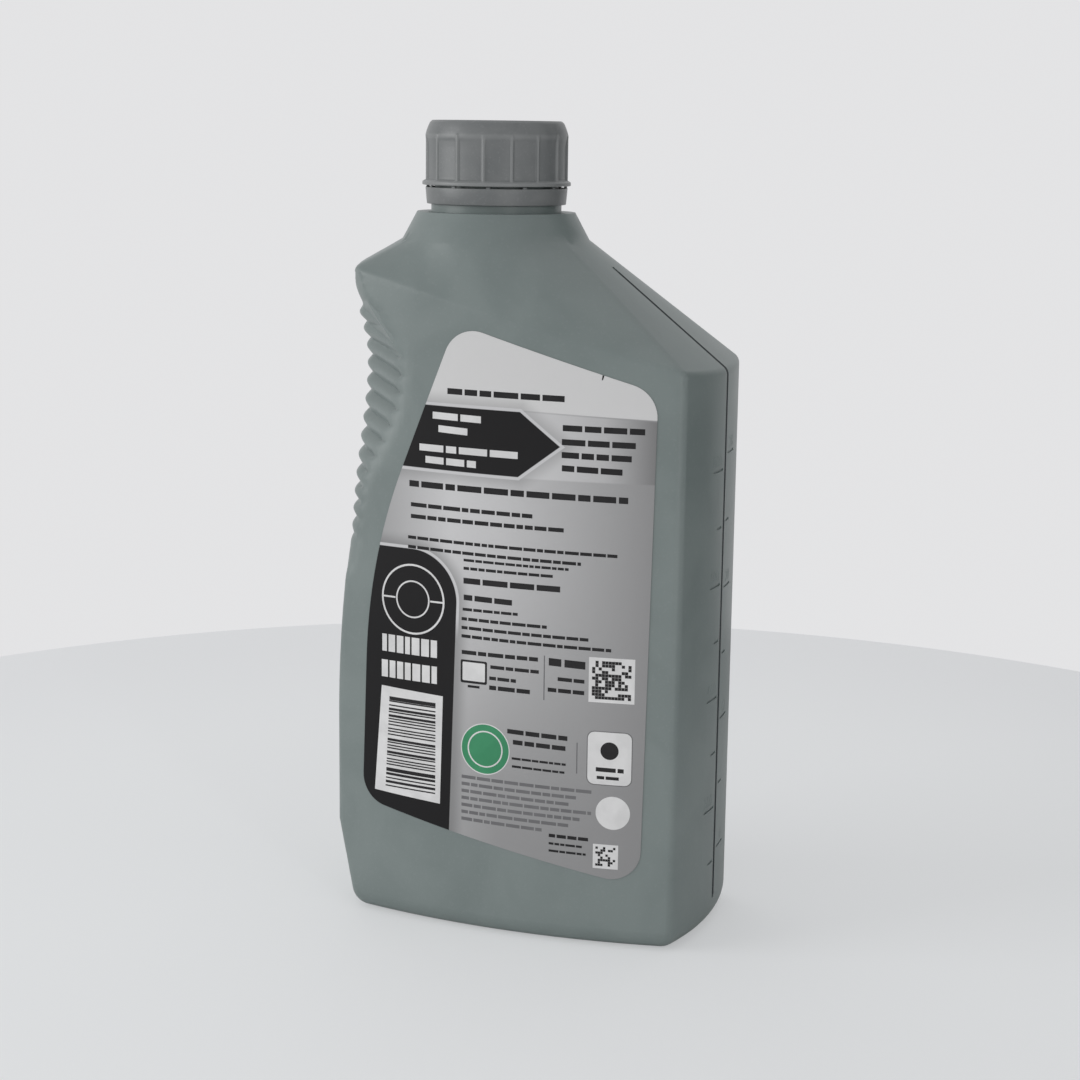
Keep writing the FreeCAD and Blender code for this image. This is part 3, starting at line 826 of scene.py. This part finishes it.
for number in range(1, rib_total):
    copied = bmesh.ops.duplicate(bm, geom=sector)["geom"]
    copied = [part for part in copied if isinstance(part, bmesh.types.BMVert)]
    turn = 2 * math.pi * number / rib_total
    bmesh.ops.rotate(bm, verts=copied, matrix=Matrix.Rotation(turn, 3, "Z"))
bmesh.ops.remove_doubles(bm, verts=bm.verts, dist=1e-3)
bmesh.ops.recalc_face_normals(bm, faces=bm.faces)

# The thread inside starts in the wall and runs up in a screw
lead, turns, steps = 4.2, 1.5, 90
neck_top, thread_drop = 224.0, 9.0
start = neck_top - thread_drop - lead / 2
crest, root = cap_bore - 1.1, cap_bore + 0.2
thread = bmesh.new()
profile = [(root, -0.75), (crest, -0.25), (crest, 0.25), (root, 0.75)]
end = thread.faces.new([thread.verts.new((radius, 0, start + high)) for radius, high in profile])
bmesh.ops.spin(thread, geom=list(end.verts) + list(end.edges) + [end], cent=(0, 0, 0), axis=(0, 0, 1),
               dvec=(0, 0, lead * turns / steps), angle=2 * math.pi * turns, steps=steps)
bmesh.ops.recalc_face_normals(thread, faces=thread.faces)
ridge = bpy.data.meshes.new("ridge")
thread.to_mesh(ridge)
thread.free()
bm.from_mesh(ridge)
mark_sharp(bm, 62)
bmesh.ops.translate(bm, vec=(neck_x, 0, 0), verts=bm.verts)
cap_shell = finished("cap_shell", bm, cap_plastic, "cap")
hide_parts("cap")

# The tamper ring, with a lip inside its foot that catches under the neck's bead
bm = bmesh.new()
band_low, band_high, lip_radius = 203.8, 208.4, 18.1
bridge_total = 12
corners = [(lip_radius, band_low), (19.6, band_low), (20.0, band_high), (cap_bore, band_high),
           (cap_bore, 205.8), (lip_radius, 204.9)]
spun(bm, corners, 0.16, 192)
bmesh.ops.recalc_face_normals(bm, faces=bm.faces)
for number in range(bridge_total):
    turn = 2 * math.pi * (number + 0.5) / bridge_total
    block_at(bm, (0.8, 1.2, 0.6), (19.5, 0, band_high + 0.2), turn, 0.12)
bmesh.ops.translate(bm, vec=(neck_x, 0, 0), verts=bm.verts)
mark_sharp(bm, 45)
tamper_band = finished("tamper_band", bm, cap_plastic, "bottle")
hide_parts("tamper_ring")


# The sealing wad inside the cap is a disc punched from white closed-cell foam. It is pressed
# in under the top, and keeps the solid's own mesh.

liner_foam, tree, shader, place = new_material("liner_foam")
cells = put(tree, "TexVoronoi", Vector=place, Scale=2.6).outputs["Distance"]
foam = blended(tree, cells, (0.70, 0.70, 0.68, 1), (0.84, 0.84, 0.82, 1))
tree.links.new(foam, shader.inputs["Base Color"])
bump = put(tree, "Bump", Strength=0.5, Distance=0.0001, Height=cells)
tree.links.new(bump.outputs[0], shader.inputs["Normal"])
shader.inputs["Roughness"].default_value = 0.8
nodes["cap_liner"].material_slots[0].material = liner_foam


# The bottle stands on a round pale table in front of a pale wall, under soft lamps. These
# are stage only, and their sizes are in metres.

table_radius, table_rim, table_thickness = 0.362, 0.365, 0.02
bm = bmesh.new()
bmesh.ops.create_cone(bm, cap_ends=True, segments=192, radius1=table_radius, radius2=table_rim,
                      depth=table_thickness, matrix=Matrix.Translation((0, 0, -table_thickness / 2)))
mesh = bpy.data.meshes.new("table")
bm.to_mesh(mesh)
bm.free()
table = bpy.data.objects.new("table", mesh)
bpy.context.scene.collection.objects.link(table)
table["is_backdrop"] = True
table_white, tree, shader, place = new_material("table_white")
from_middle = put(tree, "VectorMath", operation="LENGTH", in0=place).outputs["Value"]
shade = eased(tree, from_middle, 180.0, 362.0)
seen = put(tree, "LightPath").outputs["Is Camera Ray"]
near_tone = blended(tree, seen, (0.88, 0.885, 0.89, 1), (0.44, 0.45, 0.455, 1))
tone = blended(tree, shade, near_tone, (0.40, 0.405, 0.415, 1))
glow = blended(tree, seen, (0, 0, 0, 1), (0.385, 0.39, 0.395, 1))
tree.links.new(tone, shader.inputs["Base Color"])
tree.links.new(glow, shader.inputs["Emission Color"])
shader.inputs["Emission Strength"].default_value = 1.0
shader.inputs["Roughness"].default_value = 0.9
shader.inputs["Specular IOR Level"].default_value = 0.1
mesh.materials.append(table_white)


def card(name, place, size, colour):
    """Card that the camera can't see, but that shows in the plastic's gloss."""
    bm = bmesh.new()
    bmesh.ops.create_grid(bm, x_segments=1, y_segments=1, size=0.5)
    bmesh.ops.scale(bm, vec=(*size, 1), verts=bm.verts)
    away = Vector((0, 0, 0.1)) - Vector(place)
    facing = away.to_track_quat("Z", "Y").to_matrix().to_4x4()
    bmesh.ops.transform(bm, matrix=Matrix.Translation(place) @ facing, verts=bm.verts)
    mesh = bpy.data.meshes.new(name)
    bm.to_mesh(mesh)
    bm.free()
    made = bpy.data.objects.new(name, mesh)
    bpy.context.scene.collection.objects.link(made)
    made.visible_camera = False
    material, tree, shader, _ = new_material(name)
    shader.inputs["Base Color"].default_value = (*colour, 1)
    shader.inputs["Roughness"].default_value = 0.9
    mesh.materials.append(material)
    made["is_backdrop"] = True


card("dark_card", (0.72, 0.62, 0.25), (0.75, 1.3), (0.03, 0.03, 0.032))


def lamp(name, place, size, power):
    """Soft lamp that faces the bottle, from its place, width and height, and watts."""
    data = bpy.data.lights.new(name, "AREA")
    data.shape = "RECTANGLE"
    data.size, data.size_y = size
    data.energy = power
    made = bpy.data.objects.new(name, data)
    bpy.context.scene.collection.objects.link(made)
    made.location = place
    away = Vector((0, 0, 0.12)) - Vector(place)
    made.rotation_euler = away.to_track_quat("-Z", "Y").to_euler()
    return made


lamp("left_lamp", (-1.22, -0.80, 0.50), (0.9, 0.9), 8.6)
lamp("right_lamp", (0.75, -0.75, 0.30), (0.10, 1.0), 1.4)
lamp("top_lamp", (0.0, 0.15, 1.2), (0.9, 0.9), 1.2)
lamp("low_lamp", (0.04, -0.28, 0.015), (0.5, 0.06), 0.12)
# This one lights the hidden face, and the shoulder must not mirror it.
lamp("back_lamp", (-0.80, 1.05, 0.50), (0.9, 0.9), 2.2).visible_glossy = False

# The wall is the world itself. It shows brighter than the light it gives.
wall_light = 0.62
world = bpy.data.worlds.new("studio")
bpy.context.scene.world = world
world.use_nodes = True
tree = world.node_tree
light_path = put(tree, "LightPath").outputs
seen = calc(tree, "MAXIMUM", light_path["Is Camera Ray"], light_path["Is Glossy Ray"])
seen = calc(tree, "MAXIMUM", seen, light_path["Is Transmission Ray"])
background = tree.nodes["Background"]
background.inputs["Color"].default_value = (0.772, 0.772, 0.782, 1)
strength = calc(tree, "MULTIPLY_ADD", seen, 0.38, wall_light)
tree.links.new(strength, background.inputs["Strength"])

bpy.context.scene.view_settings.view_transform = "Standard"


# The camera stands where the photographer's did: above the table, turned to the left, and
# tilted down to the bottle. Its place was fitted to the edges of the bottle.

camera_data = bpy.data.cameras.new("camera")
camera = bpy.data.objects.new("camera", camera_data)
bpy.context.scene.collection.objects.link(camera)
bpy.context.scene.camera = camera
camera_data.sensor_width = 36.0
camera_data.lens = 71.0
turn = math.radians(20.54)
tilt = math.radians(10.87)
roll = math.radians(0.74)
forward = Vector((
    -math.sin(turn) * math.cos(tilt), math.cos(turn) * math.cos(tilt), -math.sin(tilt),
))
level = Vector((math.cos(turn), math.sin(turn), 0))
up = level.cross(forward)
right_axis = level * math.cos(roll) + up * math.sin(roll)
up_axis = up * math.cos(roll) - level * math.sin(roll)
placed = Matrix((right_axis, up_axis, -forward)).transposed().to_4x4()
placed.translation = Vector((0.2121, -0.5642, 0.2241))
camera.matrix_world = placed

low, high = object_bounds()
